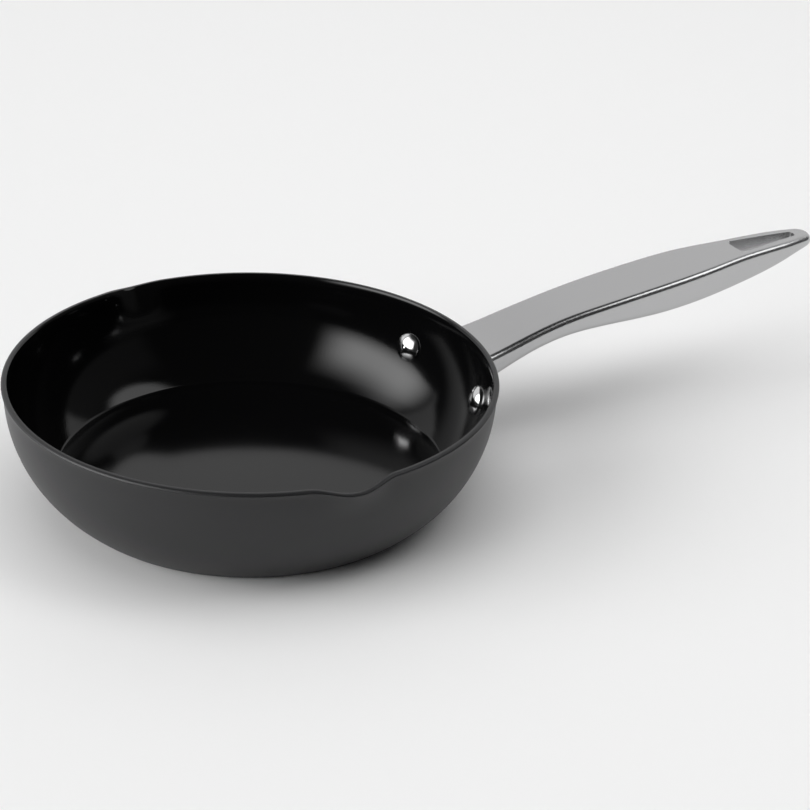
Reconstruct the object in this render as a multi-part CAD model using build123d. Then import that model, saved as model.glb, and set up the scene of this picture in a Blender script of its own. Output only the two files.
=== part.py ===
"""A 20 cm omelette pan: a pressed aluminium pan with two small pouring lips, its
non-stick lining and induction disc, and a hollow steel handle on a riveted bracket.

Lengths are in millimetres. The origin is the centre of the underside, +Z is up,
and the handle runs along +X. The pan is alike on both sides of the XZ plane.
"""
import os
from math import asin, cos, degrees, pi, radians, sin, sqrt

from build123d import *

# Pan body
rim_radius = 100.0            # outer edge of the rim
pan_height = 50.0             # underside to the top of the rim
rim_flare = 0.9               # the rim stands this far outside the wall below it
rim_flare_height = 4.0        # the flare fades out over this height
wall_sweep_radius = 57.3      # the outer wall is one arc in section
wall_thickness = 2.0
floor_thickness = 6.0
base_edge_radius = 1.5
floor_corner_radius = 2.0     # where the lining's wall meets its floor
plain_steps = 10              # outlines that shape the wall below the lips
lipped_steps = 6              # outlines that shape it from there to the rim

# Pouring lips, one on each side
lip_angle = 94.5              # degrees from the handle to the middle of a lip
lip_half_angle = 10.5         # degrees from its middle to where it fades out
lip_reach = 4.2               # how far the middle stands out
lip_dip = 2.0                 # how far the rim drops there
lip_lead = 0.15               # the dip's tool starts this far above the rim
lip_depth = 16.0              # how far down the wall the lip fades out
lip_steps = 12                # points along the outline of a lip, between its ends
dip_steps = 5                 # points along the dip, from its middle to either end

# Lining and disc
lining_thickness = 0.3
disc_radius = 66.0
disc_thickness = 1.0
disc_clearance = 0.1          # around the disc, in the recess that holds it

# Rivets
rivet_angle = 17.2            # degrees from the handle to each rivet
rivet_drop = 11.7             # rivets below the top of the handle's root
shank_radius = 3.0
shank_clearance = 0.1
head_radius = 6.1             # polished dome inside the pan
head_height = 3.0
tail_radius = 5.4             # flattened end behind the bracket
tail_height = 2.0
dome_edge_share = 0.3         # a dome's edge stands up by this share of its height

# Bracket
bracket_thickness = 2.5
bracket_clearance = 0.1       # between the bracket and the wall
ear_radius = 8.5
yoke_width = 38.0             # middle of the bracket, behind the handle
yoke_margin = 1.5             # the yoke reaches this far above the handle's root
yoke_corner_radius = 4.0
tongue_length = 22.0          # reaches this far into the handle
tongue_clearance = 0.15

# Handle
handle_reach = 282.8          # pan axis to the tip
handle_root_height = 41.0     # top of the handle where it meets the pan
handle_rise = 19.0            # from there to the top of the tip
grip_width = 30.5
grip_depth = 13.6
tip_radius = 6.3
tip_slope = 13.0              # degrees by which the sides close in at the tip's arc
top_edge_radius = 2.5
bottom_edge_radius = 2.2
shell_thickness = 1.5

# Stations along the handle, as shares of its length from the wall to the tip, and
# its sizes there. The first lies inside the bracket, which the root is cut to.
station_shares = (-0.035, 0.07, 0.14, 0.23, 0.337, 0.497, 0.658, 0.765, 0.872, 0.952)
rise_shares = (-0.03, 0.10, 0.26, 0.447, 0.60, 0.768, 0.91, 0.968, 0.995, 1.0)
depth_shares = (0.89, 0.684, 0.60, 0.60, 0.713, 0.949, 1.0, 0.949, 0.72, 0.46)
width_shares = (1.22, 1.046, 0.99, 0.951, 0.98, 1.0, 0.905, 0.72, 0.60)
tip_depth_share = 0.37
seam_share = 0.5              # the shells meet at this share of the depth

# Hanging hole, a rounded wedge with its wide end towards the pan
hole_length = 33.0
hole_wide = 12.8
hole_narrow = 4.4
hole_corner_radius = 2.0
hole_tip_gap = 8.5            # metal left between the hole and the tip

overrun = 2.0                 # cutting tools reach this far past what they cut

lining_inset = wall_thickness + lining_thickness
flare_bottom = pan_height - rim_flare_height
wall_top_radius = rim_radius - rim_flare
sweep_centre_radius = wall_top_radius - wall_sweep_radius
lip_bottom = pan_height - lip_depth
rivet_height = handle_root_height - rivet_drop
bracket_inset = -(bracket_clearance + bracket_thickness)
tip_top = handle_root_height + handle_rise
on_floor = (Align.CENTER, Align.CENTER, Align.MIN)


def wall_radius(height, inset=0.0):
    """Distance from the axis to the wall, measured inset from its outer face."""
    if height > flare_bottom:
        climb = (height - flare_bottom) / rim_flare_height
        return wall_top_radius - inset + rim_flare * climb ** 2
    drop = flare_bottom - height
    return sweep_centre_radius + sqrt((wall_sweep_radius - inset) ** 2 - drop ** 2)


def lip_bell(angle):
    """One at the middle of a lip, falling smoothly to zero where it fades out."""
    return cos(pi / 2 * (abs(angle) - lip_angle) / lip_half_angle) ** 2


def section(height, inset):
    """Closed outline of the wall at one height: two long arcs and two lips."""
    radius = wall_radius(height, inset)
    fade = max(0.0, (height - lip_bottom) / (lip_depth - lip_dip)) ** 2

    def point(angle, reach=0.0):
        distance = radius + reach
        return (distance * cos(radians(angle)), distance * sin(radians(angle)), height)

    def lip(start, end):
        shares = [k / lip_steps for k in range(lip_steps + 1)]
        angles = [start + (end - start) * share for share in shares]
        points = [point(a, lip_reach * fade * lip_bell(a)) for a in angles]
        tangents = [(-sin(radians(a)), cos(radians(a)), 0) for a in (start, end)]
        return Edge.make_spline(points, tangents=tangents, parameters=shares)

    near, far = lip_angle - lip_half_angle, lip_angle + lip_half_angle
    front = ThreePointArc(point(-near), point(0), point(near))
    back = ThreePointArc(point(far), point(180), point(-far))
    return Wire([front, lip(near, far), back, lip(-far, -near)])


def plug(inset, low, high):
    """Solid of revolution inside the wall's inset face, between two heights."""
    middle = (low + high) / 2
    foot, top = (wall_radius(low, inset), low), (wall_radius(high, inset), high)
    with BuildSketch() as profile:
        with BuildLine():
            Line((0, low), foot)
            ThreePointArc(foot, (wall_radius(middle, inset), middle), top)
            Polyline(top, (0, high), (0, low))
        make_face()
    return revolve(Plane.XZ * profile.sketch, Axis.Z)


def bowl(inset, bottom, corner_radius):
    """Solid inside the wall's inset face, from bottom to a little above the rim."""
    plain, lipped = lip_bottom - bottom, pan_height + overrun - lip_bottom
    heights = [bottom + plain * k / plain_steps for k in range(plain_steps)]
    heights += [lip_bottom + lipped * k / lipped_steps for k in range(lipped_steps + 1)]
    solid = Solid.make_loft([section(height, inset) for height in heights])
    return solid.fillet(corner_radius, solid.edges().group_by(Axis.Z)[0])


def rim_cut(bowl_solid):
    """The bowl cut off at the rim, which is flat but for a dip across each lip."""
    reach = rim_radius + 2 * lip_reach + overrun
    half_width = rim_radius * sin(radians(lip_half_angle))
    start, top = pan_height + lip_lead, pan_height + 2 * overrun
    shares = [k / dip_steps for k in range(-dip_steps, dip_steps + 1)]
    depth = lip_dip + lip_lead
    points = [(s * half_width, start - depth * cos(pi / 2 * s) ** 2) for s in shares]
    with BuildSketch() as dip:
        with BuildLine():
            Spline(points, tangents=[(1, 0), (1, 0)])
            Polyline(points[-1], (half_width, top), (-half_width, top), points[0])
        make_face()
    across = extrude(Plane.YZ * dip.sketch, amount=reach)
    slab = Pos(0, 0, pan_height) * Box(2 * reach, 2 * reach, 2 * overrun, align=on_floor)
    trimmed = bowl_solid - slab
    for side in (1, -1):
        trimmed = trimmed - Rot(0, 0, side * lip_angle) * across
    return trimmed


def rivet_places():
    """A frame on the wall's outer face for each rivet, with z straight out of the wall."""
    tilt = degrees(asin((flare_bottom - rivet_height) / wall_sweep_radius))
    seat = Pos(wall_radius(rivet_height), 0, rivet_height) * Rot(0, 90 + tilt, 0)
    return {
        "rivet_left": Rot(0, 0, rivet_angle) * seat,
        "rivet_right": Rot(0, 0, -rivet_angle) * seat,
    }


def drill(piece):
    """The piece with a hole for each rivet's shank."""
    depth = 2 * (lining_inset + bracket_thickness + overrun)
    for place in rivet_places().values():
        piece = piece - place * Cylinder(shank_radius + shank_clearance, depth)
    return piece


def pan_body(outer, cavity):
    """Pressed aluminium bowl with a thick floor and a recess for the disc."""
    recess = Cylinder(disc_radius + disc_clearance, disc_thickness, align=on_floor)
    return drill(rim_cut(outer) - cavity - recess)


def nonstick_lining(cavity, inside):
    """Thin non-stick skin over the whole inside."""
    return drill(rim_cut(cavity) - inside)


def induction_disc():
    """Steel disc pressed flush into the underside."""
    return Cylinder(disc_radius, disc_thickness, align=on_floor)


def handle_stations(inset):
    """Along the handle: distance from the axis, top, bottom and half width."""
    root = wall_radius(handle_root_height)
    length = handle_reach - root
    rows = []
    for share, rise, depth in zip(station_shares, rise_shares, depth_shares):
        top = handle_root_height + rise * handle_rise
        rows.append((root + share * length, top - inset, top - depth * grip_depth + inset))
    halves = [share * grip_width / 2 - inset for share in width_shares]
    return rows, halves


def handle_form(inset):
    """The handle's outside, or a smaller copy inset all round."""
    rows, halves = handle_stations(inset)
    tip = handle_reach - inset
    upper = [(x, top) for x, top, _ in rows] + [(tip, tip_top - inset)]
    lower = [(x, bottom) for x, _, bottom in rows]
    lower.append((tip, tip_top - tip_depth_share * grip_depth + inset))
    with BuildSketch() as side:
        with BuildLine():
            Spline(upper)
            Line(upper[-1], lower[-1])
            Spline(lower)
            Line(lower[0], upper[0])
        make_face()
    radius, turn = tip_radius - inset, radians(tip_slope)
    shoulder = (tip - radius + radius * sin(turn), radius * cos(turn))
    left = [(row[0], half) for row, half in zip(rows, halves)] + [shoulder]
    right = [(x, -y) for x, y in left]
    with BuildSketch() as plan:
        with BuildLine():
            Spline(left, tangents=[(1, -sin(turn)), (cos(turn), -sin(turn))])
            ThreePointArc(shoulder, (tip, 0), right[-1])
            Spline(right, tangents=[(1, sin(turn)), (cos(turn), sin(turn))])
            Line(right[0], left[0])
        make_face()
    slab = extrude(Plane.XZ.offset(-grip_width) * side.sketch, amount=2 * grip_width)
    form = slab & extrude(plan.sketch, amount=2 * tip_top)
    faces = form.faces().sort_by(lambda face: face.normal_at().Z)
    for face, rounding in ((faces[-1], top_edge_radius), (faces[0], bottom_edge_radius)):
        rims = [edge for edge in face.edges() if edge.geom_type != GeomType.LINE]
        form = form.fillet(rounding - inset, rims)
    return form


def hole_column(growth=0.0):
    """The hanging hole's column, or a larger one for the collar round it."""
    far = handle_reach - hole_tip_gap
    near = far - hole_length
    corners = [(near, hole_wide / 2), (far, hole_narrow / 2)]
    corners += [(x, -y) for x, y in corners[::-1]]
    with BuildSketch() as outline:
        with BuildLine():
            Polyline(*corners, close=True)
        make_face()
        fillet(outline.vertices(), hole_corner_radius)
        if growth:
            offset(amount=growth)
    return extrude(outline.sketch, amount=2 * tip_top)


def seam_region(side):
    """Space above (side 1) or below (side -1) the seam between the two shells."""
    rows, _ = handle_stations(0)
    points = [(x, top + seam_share * (bottom - top)) for x, top, bottom in rows]
    points.insert(0, (points[0][0] - overrun, points[0][1]))
    points.append((handle_reach + overrun, tip_top - seam_share * tip_depth_share * grip_depth))
    limit = tip_top / 2 + side * tip_top
    with BuildSketch() as profile:
        with BuildLine():
            Spline(points)
            Polyline(points[-1], (points[-1][0], limit), (points[0][0], limit), points[0])
        make_face()
    return extrude(Plane.XZ.offset(-grip_width) * profile.sketch, amount=2 * grip_width)


def handle_shells(seat):
    """Upper and lower pressed halves of the handle, with the collar of the hole."""
    hollow = handle_form(shell_thickness) - hole_column(shell_thickness)
    shell = handle_form(0) - hollow - hole_column() - seat
    return shell & seam_region(1), shell & seam_region(-1)


def handle_bracket(seat):
    """Curved plate with an ear for each rivet, and a tongue inside the handle."""
    low, high = rivet_height - ear_radius, handle_root_height + yoke_margin
    inner = plug(-bracket_clearance, low - ear_radius, flare_bottom)
    ear_place = wall_radius(rivet_height) * sin(radians(rivet_angle))
    with BuildSketch() as outline:
        with Locations((0, rivet_height)):
            SlotCenterToCenter(2 * ear_place, 2 * ear_radius)
        with Locations((0, (low + high) / 2)):
            RectangleRounded(yoke_width, high - low, yoke_corner_radius)
    outward = extrude(Plane.YZ * outline.sketch, amount=rim_radius + bracket_thickness + overrun)
    plate = (seat - inner) & outward
    stop = wall_radius(handle_root_height) + bracket_thickness + tongue_length
    tongue = handle_form(shell_thickness + tongue_clearance) & Box(2 * stop, 2 * stop, 2 * stop)
    return drill(plate + (tongue - seat))


def dome(radius, height):
    """Rounded button standing on a cylinder that sinks into what it sits on."""
    cap = (1 - dome_edge_share) * height
    ball_radius = (radius ** 2 + cap ** 2) / (2 * cap)
    blank = Pos(0, 0, -overrun) * Cylinder(radius, height + overrun, align=on_floor)
    button = blank & Pos(0, 0, height - ball_radius) * Sphere(ball_radius)
    shoulder = button.edges().filter_by(lambda edge: edge.is_closed).sort_by(Axis.Z)[-1]
    return button.fillet(dome_edge_share * height, [shoulder])


def rivet(place, inside, seat):
    """Domed head inside the pan, shank through the wall, flattened tail outside."""
    head_blank = Pos(0, 0, -lining_inset) * Rot(180, 0, 0) * dome(head_radius, head_height)
    tail_blank = Pos(0, 0, -bracket_inset) * dome(tail_radius, tail_height)
    inner_end = -lining_inset - head_height / 2
    outer_end = -bracket_inset + tail_height / 2
    shank = Pos(0, 0, inner_end) * Cylinder(shank_radius, outer_end - inner_end, align=on_floor)
    return (place * head_blank & inside) + place * shank + (place * tail_blank - seat)


def build_pan():
    """Every piece of the pan by its name."""
    outer = bowl(0, 0, base_edge_radius)
    cavity = bowl(wall_thickness, floor_thickness, floor_corner_radius + lining_thickness)
    inside = bowl(lining_inset, floor_thickness + lining_thickness, floor_corner_radius)
    seat = plug(bracket_inset, rivet_height - 2 * ear_radius, flare_bottom)
    upper_shell, lower_shell = handle_shells(seat)
    pieces = {
        "pan_body": pan_body(outer, cavity),
        "nonstick_lining": nonstick_lining(cavity, inside),
        "induction_disc": induction_disc(),
        "handle_bracket": handle_bracket(seat),
        "handle_upper_shell": upper_shell,
        "handle_lower_shell": lower_shell,
    }
    for name, place in rivet_places().items():
        pieces[name] = rivet(place, inside, seat)
    return pieces


os.makedirs("parts", exist_ok=True)
for piece_name, piece in build_pan().items():
    export_step(piece, f"parts/{piece_name}.step")
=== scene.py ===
# %% [markdown]
# # An omelette pan
# This notebook dresses the packed model of a 20 cm omelette pan: a pressed aluminium
# pan with two pouring lips, a glossy black lining and a hollow steel handle. The model
# is loaded first and never moved. Everything is in metres: +Z is up, the origin is the
# centre of the underside and the handle runs along +X.

# %% Load the model
from math import atan2, cos, degrees, hypot, pi, radians, sin, sqrt

import bpy
from mathutils import Matrix, Vector


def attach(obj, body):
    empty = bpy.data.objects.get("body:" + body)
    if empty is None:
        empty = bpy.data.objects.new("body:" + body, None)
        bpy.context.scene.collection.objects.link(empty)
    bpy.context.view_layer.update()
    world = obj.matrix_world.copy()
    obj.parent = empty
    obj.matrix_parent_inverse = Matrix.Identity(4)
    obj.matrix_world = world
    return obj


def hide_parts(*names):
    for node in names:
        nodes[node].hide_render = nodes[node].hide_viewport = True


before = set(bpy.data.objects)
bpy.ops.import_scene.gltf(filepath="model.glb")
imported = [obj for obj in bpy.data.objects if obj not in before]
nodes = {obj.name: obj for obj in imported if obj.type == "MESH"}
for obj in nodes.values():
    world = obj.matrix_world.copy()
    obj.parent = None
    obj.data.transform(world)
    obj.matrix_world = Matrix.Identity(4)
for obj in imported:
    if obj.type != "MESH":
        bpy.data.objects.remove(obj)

scene = bpy.context.scene
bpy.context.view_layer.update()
print("nodes:", sorted(nodes))

# %% [markdown]
# ## The camera
# The picture was taken with a long lens from about a metre away, in front of the pan
# and to the left of its handle, looking down by 27 degrees. A camera can be aimed with
# three Euler angles. Here its axes are vectors that go into a matrix, because each of
# them can be checked by itself. The roll is a small turn about the line of sight.

# %% Camera
MM = 0.001
IMAGE_SIDE, FOCAL_PIXELS, SENSOR_MM = 810, 2400, 36.0
camera_place = Vector((-391.9, -773.1, 483.5)) * MM
camera_forward = Vector((0.4578, 0.7620, -0.4580)).normalized()
camera_level = Vector((0.8572, -0.5150, 0.0)).normalized()
camera_roll = radians(-2.08)

camera_down = camera_forward.cross(camera_level)
camera_right = cos(camera_roll) * camera_level + sin(camera_roll) * camera_down
camera_up = camera_right.cross(camera_forward)

camera_data = bpy.data.cameras.new("camera")
camera_data.sensor_width = SENSOR_MM
camera_data.lens = FOCAL_PIXELS * SENSOR_MM / IMAGE_SIDE
camera = bpy.data.objects.new("camera", camera_data)
scene.collection.objects.link(camera)
turn = Matrix((camera_right, camera_up, -camera_forward)).transposed().to_4x4()
camera.matrix_world = Matrix.Translation(camera_place) @ turn
scene.camera = camera
print("lens:", round(camera_data.lens, 2), "mm")

# %% [markdown]
# ## Sockets that do sums
# A finish needs a little arithmetic, and in the shader editor each step of it is a Math
# node placed by hand. This class wraps a node's output instead, so that `1 - mask` or
# `a * b` adds the Math node by itself and the formula stays readable. The reflected
# forms, such as `__rsub__`, let a plain number stand on the left.

# %% Shader sums
class Value:
    """A float output of a node tree, with the usual operators."""

    def __init__(self, tree, socket):
        self.tree, self.socket = tree, socket

    def math(self, operation, *inputs):
        return self.tree.add("ShaderNodeMath", *inputs, operation=operation)

    def __add__(self, other):
        return self.math("ADD", self, other)

    def __sub__(self, other):
        return self.math("SUBTRACT", self, other)

    def __rsub__(self, other):
        return self.math("SUBTRACT", other, self)

    def __mul__(self, other):
        return self.math("MULTIPLY", self, other)

    def __truediv__(self, other):
        return self.math("DIVIDE", self, other)

    __radd__, __rmul__ = __add__, __mul__

    def sqrt(self):
        return self.math("SQRT", self)

    def sine(self):
        return self.math("SINE", self)

    def step(self, low, high):
        """Eases from zero to one while the value goes from low to high."""
        return self.tree.add(
            "ShaderNodeMapRange",
            Value=self, From_Min=low, From_Max=high, interpolation_type="SMOOTHSTEP",
        )


print("operators:", [name for name in vars(Value) if name.startswith("__r")])

# %% [markdown]
# ## Trees of nodes
# Every finish is a tree of nodes. It could be drawn by hand and saved in a file, but in
# code it can be read and changed in one place. One method adds a node of any type: what
# is named like a socket goes into that socket, and any other name is a setting.

# %% Node trees
class Tree:
    """A node tree that adds nodes by type, settings and socket values."""

    def __init__(self, node_tree):
        self.node_tree = node_tree
        node_tree.nodes.clear()

    def add(self, kind, *inputs, output=0, **named):
        node = self.node_tree.nodes.new(kind)
        sockets = {}
        for name, value in named.items():
            label = name.replace("_", " ")
            if label in node.inputs:
                sockets[label] = value
            else:
                setattr(node, name, value)
        for key, value in list(enumerate(inputs)) + list(sockets.items()):
            socket = node.inputs[key]
            if isinstance(value, Value):
                self.node_tree.links.new(value.socket, socket)
            else:
                socket.default_value = value
        return Value(self, node.outputs[output]) if node.outputs else node

    def split(self, vector):
        """The x, y and z of a vector."""
        node = self.node_tree.nodes.new("ShaderNodeSeparateXYZ")
        self.node_tree.links.new(vector.socket, node.inputs[0])
        return [Value(self, socket) for socket in node.outputs]


print("a tree can:", [name for name in vars(Tree) if not name.startswith("_")])

# %% [markdown]
# ## The room
# Cookware is photographed in a dark room with a few large softboxes, and the shiny
# parts show those boxes. The boxes could be area lamps round the pan. Here they are
# painted on the world's sky, where each one is a patch of directions with soft edges,
# because its place in a reflection then depends on two angles alone. One box is high
# on the right, one is on the left, a pale wall is behind and a faint fill on the
# right. Bearings are in degrees, counted to the right of the camera's heading.

# %% Sky with softboxes
HEADING = atan2(camera_forward.y, camera_forward.x)
DARK_ROOM, OVERHEAD_GLOW, LEFT_GLOW, BACK_GLOW, FILL_GLOW = 0.03, 2.3, 6.6, 0.75, 0.09
NOT_ZERO = 0.0001
world = bpy.data.worlds.new("studio")
world.use_nodes = True
scene.world = world
sky = Tree(world.node_tree)
east, north, height = sky.split(sky.add("ShaderNodeTexCoord", output="Generated"))
level = (east * east + north * north).sqrt() + NOT_ZERO


def span(bearing, half_width, softness):
    """One inside a sector of bearings, easing to zero at its edges."""
    angle = HEADING - radians(bearing)
    toward = (east * cos(angle) + north * sin(angle)) / level
    return toward.step(cos(radians(half_width + softness)), cos(radians(half_width)))


def above(start, full):
    """Zero below the elevation start, one above the elevation full."""
    return height.step(sin(radians(start)), sin(radians(full)))


def softbox(bearing, elevation, half_angle, softness):
    """One inside a round patch about a direction, easing to zero at its edge."""
    angle, tilt = HEADING - radians(bearing), radians(elevation)
    across = east * (cos(tilt) * cos(angle)) + north * (cos(tilt) * sin(angle))
    toward = across + height * sin(tilt)
    return toward.step(cos(radians(half_angle + softness)), cos(radians(half_angle)))


overhead = softbox(bearing=84, elevation=52, half_angle=11, softness=6)
left_box = span(bearing=-112, half_width=12, softness=28) * above(3, 20) * (1 - above(24, 54))
back_wall = span(bearing=-8, half_width=62, softness=6) * (1 - above(40, 60))
right_fill = span(bearing=88, half_width=26, softness=12) * above(2, 12) * (1 - above(28, 48))
boxes = OVERHEAD_GLOW * overhead + LEFT_GLOW * left_box
walls = BACK_GLOW * back_wall + FILL_GLOW * right_fill
glow = DARK_ROOM + boxes + walls
background = sky.add("ShaderNodeBackground", Strength=glow, Color=(1, 1, 1, 1))
sky.add("ShaderNodeOutputWorld", background)
scene.view_settings.view_transform = "Standard"
print("nodes in the sky:", len(world.node_tree.nodes))

# %% [markdown]
# ## Starting and ending a material
# A material could be kept in a library file and linked. These few are short, so they
# are made on the spot. Each starts with Object coordinates, which stay with the piece
# at its real size, and ends with the surface shader.

# %% Material helpers
def new_material(name):
    """An empty material and its tree, with Object coordinates ready."""
    material = bpy.data.materials.new(name)
    material.use_nodes = True
    tree = Tree(material.node_tree)
    place = tree.add("ShaderNodeTexCoord", output="Object")
    return material, tree, place


def finish_material(tree, **sockets):
    """Adds the surface shader and the output."""
    surface = tree.add("ShaderNodeBsdfPrincipled", **sockets)
    tree.add("ShaderNodeOutputMaterial", surface)


print("helpers:", new_material.__name__, finish_material.__name__)

# %% [markdown]
# ## The table
# A plain pale surface carries the pan. A curved backdrop would hide the horizon, but
# the camera looks down, so a large plane is enough. It lies a fifth of a millimetre
# under the base, so that the two faces don't flicker through each other.

# %% Table
TABLE_SIDE, TABLE_DROP = 14, 0.2
bpy.ops.object.select_all(action="DESELECT")
bpy.ops.mesh.primitive_plane_add(size=TABLE_SIDE, location=(0, 0, -TABLE_DROP * MM))
table = bpy.context.object
table.name = "table"
table_paint, tree, _ = new_material("table_paint")
finish_material(tree, Base_Color=(0.9, 0.9, 0.9, 1), Roughness=0.7)
table.data.materials.append(table_paint)
print("table:", TABLE_SIDE, "m wide")

# %% [markdown]
# ## Light for the table
# The sky is dark for the most part, so the table needs a light of its own. A brighter
# sky would do it, but it would also show in the lining. So one large soft lamp hangs
# over the pan. It is hidden from mirror reflections and draws no spot on the gloss.

# %% Overhead lamp
LAMP_WATTS, LAMP_WIDTH, LAMP_PLACE = 19.0, 2.4, (0.1, 0.0, 2.0)
lamp_data = bpy.data.lights.new("table_lamp", type="AREA")
lamp_data.shape, lamp_data.size, lamp_data.energy = "DISK", LAMP_WIDTH, LAMP_WATTS
lamp = bpy.data.objects.new("table_lamp", lamp_data)
lamp.location = LAMP_PLACE
lamp.visible_glossy = False
scene.collection.objects.link(lamp)
print("lamp:", lamp_data.energy, "W")

# %% [markdown]
# ## The coating outside
# The outside of the pan is sprayed with a satin dark grey coating and baked. A picture
# of a coating would need an unwrapped mesh. Noise on Object coordinates needs none: a
# fine grain becomes a bump, and a large faint cloud varies the gloss, as no sprayed
# surface is quite even. The shader isn't metallic, because the coating hides the metal.

# %% Outside coating
outside_coat, tree, place = new_material("satin_grey_coat")
grain = tree.add("ShaderNodeTexNoise", Vector=place, Scale=2600.0, Detail=2.0)
cloud = tree.add("ShaderNodeTexNoise", Vector=place, Scale=35.0, Detail=2.0)
finish_material(
    tree,
    Base_Color=(0.011, 0.011, 0.012, 1),
    Roughness=0.40 + 0.06 * cloud,
    Normal=tree.add("ShaderNodeBump", Height=grain, Strength=0.12, Distance=0.03 * MM),
)
print("finish:", outside_coat.name)

# %% [markdown]
# ## The lining
# The non-stick lining is a glossy black skin. Nearly all that is seen of it is
# reflection. A clear coat over a black base could give it, but one layer is enough
# here: almost black, smooth enough to mirror the rivets, and with the slight orange
# peel that spraying leaves.

# %% Lining
lining_gloss, tree, place = new_material("black_ceramic_lining")
grain = tree.add("ShaderNodeTexNoise", Vector=place, Scale=1500.0, Detail=3.0)
cloud = tree.add("ShaderNodeTexNoise", Vector=place, Scale=30.0, Detail=2.0)
finish_material(
    tree,
    Base_Color=(0.0025, 0.0025, 0.0027, 1),
    Specular_IOR_Level=0.3,
    Roughness=0.075 + 0.04 * cloud,
    Normal=tree.add("ShaderNodeBump", Height=grain, Strength=0.5, Distance=0.02 * MM),
)
print("finish:", lining_gloss.name)

# %% [markdown]
# ## Satin steel
# The handle is stainless steel, brushed along its length. An anisotropic shader could
# stretch the highlights, but it would show no lines from close by. Here the lines are
# noise whose coordinates are multiplied far more across the handle than along it, so
# that each speck of the noise becomes a line.

# %% Satin steel
handle_steel, tree, place = new_material("satin_steel")
stretched = tree.add("ShaderNodeMapping", Vector=place, Scale=(12.0, 900.0, 900.0))
lines = tree.add("ShaderNodeTexNoise", Vector=stretched, Scale=1.0, Detail=3.0)
finish_material(
    tree,
    Base_Color=(0.51, 0.51, 0.515, 1),
    Metallic=1.0,
    Roughness=0.21 + 0.05 * lines,
    Normal=tree.add("ShaderNodeBump", Height=lines, Strength=0.05, Distance=0.03 * MM),
)
print("finish:", handle_steel.name)

# %% [markdown]
# ## Polished steel
# The heads of the rivets are polished, so they mirror the softboxes almost sharply. A
# roughness of zero would give a perfect mirror, which no used tool leaves. So it is
# low, and a little noise varies it.

# %% Polished steel
polished_steel, tree, place = new_material("polished_steel")
scratch = tree.add("ShaderNodeTexNoise", Vector=place, Scale=700.0, Detail=2.0)
finish_material(
    tree, Base_Color=(0.72, 0.72, 0.725, 1), Metallic=1.0, Roughness=0.08 + 0.05 * scratch
)
print("finish:", polished_steel.name)

# %% [markdown]
# ## Turned steel
# The disc in the underside is faced on a lathe, which leaves fine rings round its
# centre. The Wave texture can draw rings too. The sine of the distance from the axis
# is chosen because it gives their spacing in real units: 9000 radians to the metre
# make a ring every 0.7 mm.

# %% Turned steel
RADIANS_PER_METRE = 9000.0
base_steel, tree, place = new_material("turned_base_steel")
x, y, _ = tree.split(place)
rings = ((x * x + y * y).sqrt() * RADIANS_PER_METRE).sine()
finish_material(
    tree,
    Base_Color=(0.56, 0.56, 0.57, 1),
    Metallic=1.0,
    Roughness=0.30 + 0.05 * rings,
    Normal=tree.add("ShaderNodeBump", Height=rings, Strength=0.1, Distance=0.02 * MM),
)
print("finish:", base_steel.name)

# %% [markdown]
# ## Finish of the model's own pieces
# The handle, its bracket, the disc and the rivets could be modelled again here, but
# their solids already have the shape that is seen. They keep it and only change their
# material. The bowl and the lining get theirs too, though both are turned again below.

# %% Give the model's own pieces their finish
finishes = {
    "pan_body": outside_coat,
    "nonstick_lining": lining_gloss,
    "induction_disc": base_steel,
    "handle_bracket": handle_steel,
    "handle_upper_shell": handle_steel,
    "handle_lower_shell": handle_steel,
    "rivet_left": polished_steel,
    "rivet_right": polished_steel,
}
for name, material in finishes.items():
    mesh = nodes[name].data
    mesh.materials.clear()
    mesh.materials.append(material)
print("dressed:", len(finishes), "pieces")

# %% [markdown]
# ## The wall of the pan
# A pan is pressed from a disc. Seen from the side its wall is one long arc with a
# slight flare at the rim. The solid has a sharp edge at the rim's outside, so the bowl
# is made again, with that edge rounded. The wall could be traced as a list of points.
# A formula is chosen, because the outside, the inside and the lining can each follow
# it at their own distance. Sizes are in millimetres here, as on a drawing.

# %% Curve of the wall
RIM_RADIUS, PAN_HEIGHT, FLARE, FLARE_HEIGHT, SWEEP = 100.0, 50.0, 0.9, 4.0, 57.3
WALL_STEPS = 40
flare_bottom = PAN_HEIGHT - FLARE_HEIGHT
sweep_centre = RIM_RADIUS - FLARE - SWEEP


def wall(height, inset=0.0):
    """Radius of the wall at a height, measured inset from its outer face."""
    if height > flare_bottom:
        return RIM_RADIUS - FLARE - inset + FLARE * ((height - flare_bottom) / FLARE_HEIGHT) ** 2
    return sweep_centre + sqrt((SWEEP - inset) ** 2 - (flare_bottom - height) ** 2)


def climb(low, high, inset):
    """Points up the wall between two heights."""
    heights = [low + (high - low) * k / WALL_STEPS for k in range(WALL_STEPS + 1)]
    return [(wall(height, inset), height) for height in heights]


print("radius of the underside:", round(wall(0.0), 1), "mm")

# %% [markdown]
# ## Rounded corners
# No edge of a pressed pan is sharp. The Bevel modifier could round them, but it would
# round each one alike. Here every round is a small arc in the section itself: one
# helper gives the points of an arc, and one places it between the wall and a floor.

# %% Arcs of the section
RIM_STEPS, ROUND_STEPS = 5, 8


def corner(radius, height, size, start, end, steps):
    """Points on a small arc about (radius, height), angles in degrees."""
    turns = [radians(start + (end - start) * k / steps) for k in range(steps + 1)]
    return [(radius + size * cos(t), height + size * sin(t)) for t in turns]


def floor_round(inset, floor, size):
    """Points on the round between a floor and the wall's inset face, floor first."""
    centre = floor + size
    reach = sqrt((SWEEP - inset - size) ** 2 - (flare_bottom - centre) ** 2)
    slope = degrees(atan2(centre - flare_bottom, reach))
    return corner(sweep_centre + reach, centre, size, -90.0, slope, ROUND_STEPS)


print("steps on the rim's round and the floor's:", RIM_STEPS, ROUND_STEPS)

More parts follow.
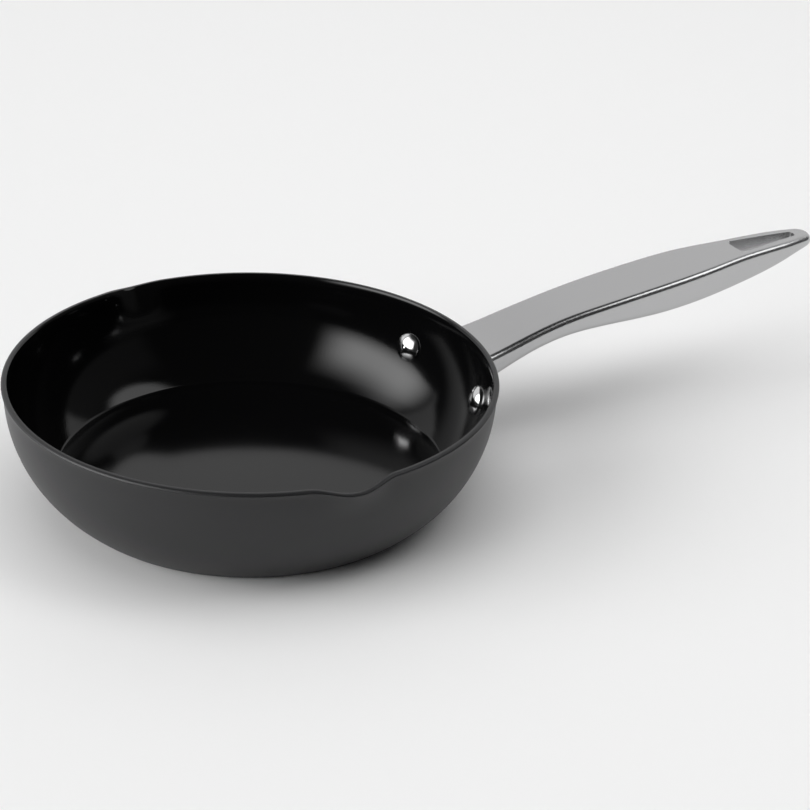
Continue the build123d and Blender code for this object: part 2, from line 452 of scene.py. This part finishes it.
# %% [markdown]
# ## Section of the bowl
# The section is drawn as one line that starts and ends on the axis: from the recess of
# the disc round the base, up the outside, over the rim and down the inside to the
# floor. Rings on the flat parts keep their faces from becoming long slivers. One ring
# lies close inside the floor's round and holds the shading flat up to it, which is
# what a holding edge does in a mesh shaped by hand.

# %% Section of the bowl
WALL, FLOOR, DISC_RADIUS, DISC_DEPTH, SKIN = 2.0, 6.0, 66.1, 1.0, 0.3
RIM_EDGE, BASE_ROUND, FLOOR_ROUND, HOLD = 1.3, 1.5, 2.0, 0.4
OUTER_START, INNER_START, RECESS_RING, FLOOR_RING = 2.0, 3.0, 30.0, 40.0
rim_start = PAN_HEIGHT - RIM_EDGE
rim_centre = wall(PAN_HEIGHT) - RIM_EDGE
body_inside = climb(FLOOR + INNER_START, PAN_HEIGHT, WALL)
body_round = floor_round(WALL, FLOOR, FLOOR_ROUND + SKIN)
body_floor = [(radius, FLOOR) for radius in (0.0, FLOOR_RING, body_round[0][0] - HOLD)]
body_section = (
    [(radius, DISC_DEPTH) for radius in (0.0, RECESS_RING, DISC_RADIUS)]
    + [(DISC_RADIUS, 0.0)]
    + floor_round(0.0, 0.0, BASE_ROUND)
    + climb(OUTER_START, rim_start, 0.0)
    + corner(rim_centre, rim_start, RIM_EDGE, 0, 90, RIM_STEPS)[1:]
    + body_inside[::-1]
    + body_round[::-1]
    + body_floor[::-1]
)
print("points of the bowl's section:", len(body_section))

# %% [markdown]
# ## Section of the lining
# The lining is a thin skin on the inside of the bowl. A Solidify modifier could grow
# it from the bowl's faces. It gets a section of its own, because its edge then ends
# flush with the rim, with a small slope of a third of its thickness.

# %% Section of the lining
SKIN_RINGS = (60.0, 30.0, 0.0)
skin_inset, skin_top, skin_edge = WALL + SKIN, FLOOR + SKIN, SKIN / 3
skin_round = floor_round(skin_inset, skin_top, FLOOR_ROUND)
skin_section = (
    body_floor
    + body_round
    + body_inside
    + [(wall(PAN_HEIGHT, skin_inset) + skin_edge, PAN_HEIGHT)]
    + climb(skin_top + INNER_START, PAN_HEIGHT - skin_edge, skin_inset)[::-1]
    + skin_round[::-1]
    + [(radius, skin_top) for radius in (skin_round[0][0] - HOLD, *SKIN_RINGS)]
)
print("points of the lining's section:", len(skin_section))

# %% [markdown]
# ## Turning on the lathe
# The Screw modifier could turn a section round the axis. Spin does it in edit mode and
# leaves a plain mesh at once. A tiny plane is merged to a single vertex, which is
# extruded point by point along the section and then spun. The last ring lies on the
# first one, so doubles are merged, which closes the mesh.

# %% Turn a section on the lathe
TURNS, SEED_SIDE, MERGE = 480, 0.01, 0.02


def turned(name, section, material, node):
    """Extrudes a vertex along the section, then spins it once round the axis."""
    bpy.ops.object.select_all(action="DESELECT")
    start = Vector((section[0][0], 0, section[0][1])) * MM
    bpy.ops.mesh.primitive_plane_add(size=SEED_SIDE, location=start)
    piece = bpy.context.object
    bpy.ops.object.transform_apply(location=True)
    bpy.ops.object.mode_set(mode="EDIT")
    bpy.ops.mesh.select_all(action="SELECT")
    bpy.ops.mesh.merge(type="CENTER")
    for (r0, z0), (r1, z1) in zip(section, section[1:]):
        step = Vector((r1 - r0, 0, z1 - z0)) * MM
        bpy.ops.mesh.extrude_region_move(TRANSFORM_OT_translate={"value": step})
    bpy.ops.mesh.select_all(action="SELECT")
    bpy.ops.mesh.spin(steps=TURNS, angle=2 * pi, center=(0, 0, 0), axis=(0, 0, 1))
    bpy.ops.mesh.select_all(action="SELECT")
    bpy.ops.mesh.remove_doubles(threshold=MERGE * MM)
    bpy.ops.mesh.normals_make_consistent(inside=False)
    bpy.ops.object.mode_set(mode="OBJECT")
    piece.name = piece.data.name = name
    piece.data.materials.append(material)
    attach(piece, "root")
    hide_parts(node)
    print(name, len(piece.data.vertices), "vertices")
    return piece


pan_bowl = turned("pan_bowl", body_section, outside_coat, "pan_body")
lining_skin = turned("lining_skin", skin_section, lining_gloss, "nonstick_lining")

# %% [markdown]
# ## The pouring lips
# A press pushes a lip out of the wall. The picture shows one, on the near side. The
# model has a second one opposite, as its mirror, which the picture doesn't show. Pulling
# the points by hand, with proportional editing, could give a lip too. A formula is
# chosen, because the bowl and the lining go through the same one and stay together.
# Each point near a lip moves outwards and down by a bell-shaped share, which fades out
# down the wall.

# %% Press the lips
LIP_ANGLE, LIP_HALF_ANGLE, LIP_REACH, LIP_DIP, LIP_DEPTH = 94.0, 10.5, 4.3, 2.2, 16.0
LIP_BOTTOM = PAN_HEIGHT - LIP_DEPTH


def press_lips(piece):
    """Moves the wall near the two lips outwards and down, fading out all round them."""
    for vertex in piece.data.vertices:
        spot = vertex.co / MM
        share = (abs(degrees(atan2(spot.y, spot.x))) - LIP_ANGLE) / LIP_HALF_ANGLE
        if abs(share) < 1 and spot.z > LIP_BOTTOM:
            bell = cos(pi / 2 * share) ** 2
            lower = spot.z - LIP_DIP * bell * (spot.z - LIP_BOTTOM) / LIP_DEPTH
            fade = ((lower - LIP_BOTTOM) / (LIP_DEPTH - LIP_DIP)) ** 2
            radius = hypot(spot.x, spot.y)
            wider = radius + wall(lower) - wall(spot.z) + LIP_REACH * fade * bell
            vertex.co = Vector((spot.x * wider / radius, spot.y * wider / radius, lower)) * MM


for piece in (pan_bowl, lining_skin):
    press_lips(piece)
    print(piece.name, "lips at", LIP_ANGLE, "degrees to both sides")

# %% [markdown]
# ## Smooth shading
# The pressed metal shows no facets. Shading every face smooth would also blur the
# edges of the recess and the rim. So faces are shaded smooth only where they meet at
# less than 35 degrees, and sharper edges stay crisp.

# %% Shade the turned pieces
SMOOTH_BELOW = 35
for piece in (pan_bowl, lining_skin):
    bpy.ops.object.select_all(action="DESELECT")
    bpy.context.view_layer.objects.active = piece
    piece.select_set(True)
    bpy.ops.object.shade_smooth_by_angle(angle=radians(SMOOTH_BELOW))
    print(piece.name, "size in mm:", [round(side / MM, 1) for side in piece.dimensions])

# %% [markdown]
# ## The size
# The dressed pan has to stay inside the model's box.
